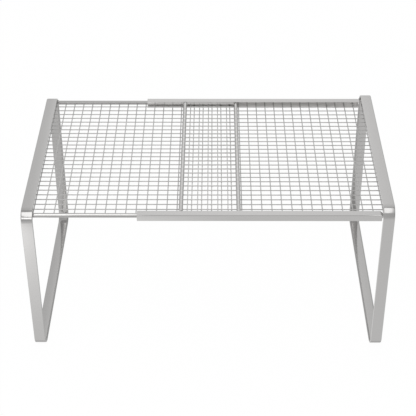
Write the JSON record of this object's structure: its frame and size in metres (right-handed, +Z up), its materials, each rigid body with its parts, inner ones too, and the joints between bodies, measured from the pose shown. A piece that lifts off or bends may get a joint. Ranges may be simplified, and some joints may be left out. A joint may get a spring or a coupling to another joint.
{
  "type": "cabinet shelf riser",
  "caption": "Expandable wire-mesh shelf riser: two half shelves on flat-strip leg frames that telescope sideways, with rods sliding in channels.",
  "frame": {"origin": "on the floor under the middle of the shelf, at the extension shown", "axes": "+X to the right along the width that the shelf extends, +Y to the back, +Z up"},
  "size_m": [0.375, 0.239, 0.1818],
  "materials": {
    "strip_metal": "satin",
    "rail_metal": "satin",
    "wire_metal": "satin"
  },
  "bodies": {
    "outer_half": {"right_leg_frame": "strip_metal", "right_front_channel": "rail_metal", "right_back_channel": "rail_metal", "right_end_bar": "rail_metal", "right_long_wires": "wire_metal", "right_cross_wire_01": "wire_metal", "right_cross_wire_02": "wire_metal", "right_cross_wire_03": "wire_metal", "right_cross_wire_04": "wire_metal", "right_cross_wire_05": "wire_metal", "right_cross_wire_06": "wire_metal", "right_cross_wire_07": "wire_metal", "right_cross_wire_08": "wire_metal", "right_cross_wire_09": "wire_metal", "right_cross_wire_10": "wire_metal", "right_cross_wire_11": "wire_metal", "right_cross_wire_12": "wire_metal", "right_cross_wire_13": "wire_metal", "right_cross_wire_14": "wire_metal", "right_cross_wire_15": "wire_metal", "right_cross_wire_16": "wire_metal", "right_cross_wire_17": "wire_metal", "right_cross_wire_18": "wire_metal", "right_cross_wire_19": "wire_metal", "right_cross_wire_20": "wire_metal"},
    "inner_half": {"left_leg_frame": "strip_metal", "left_front_rod": "rail_metal", "left_back_rod": "rail_metal", "left_end_bar": "rail_metal", "left_long_wires": "wire_metal", "left_cross_wire_01": "wire_metal", "left_cross_wire_02": "wire_metal", "left_cross_wire_03": "wire_metal", "left_cross_wire_04": "wire_metal", "left_cross_wire_05": "wire_metal", "left_cross_wire_06": "wire_metal", "left_cross_wire_07": "wire_metal", "left_cross_wire_08": "wire_metal", "left_cross_wire_09": "wire_metal", "left_cross_wire_10": "wire_metal", "left_cross_wire_11": "wire_metal", "left_cross_wire_12": "wire_metal", "left_cross_wire_13": "wire_metal", "left_cross_wire_14": "wire_metal", "left_cross_wire_15": "wire_metal", "left_cross_wire_16": "wire_metal", "left_cross_wire_17": "wire_metal", "left_cross_wire_18": "wire_metal", "left_cross_wire_19": "wire_metal", "left_cross_wire_20": "wire_metal"}
  },
  "joints": [
    {"name": "extend_slide", "type": "slide", "parent": "outer_half", "child": "inner_half", "axis": [-1, 0, 0], "range_m": [-0.1043, 0.054]}
  ]
}
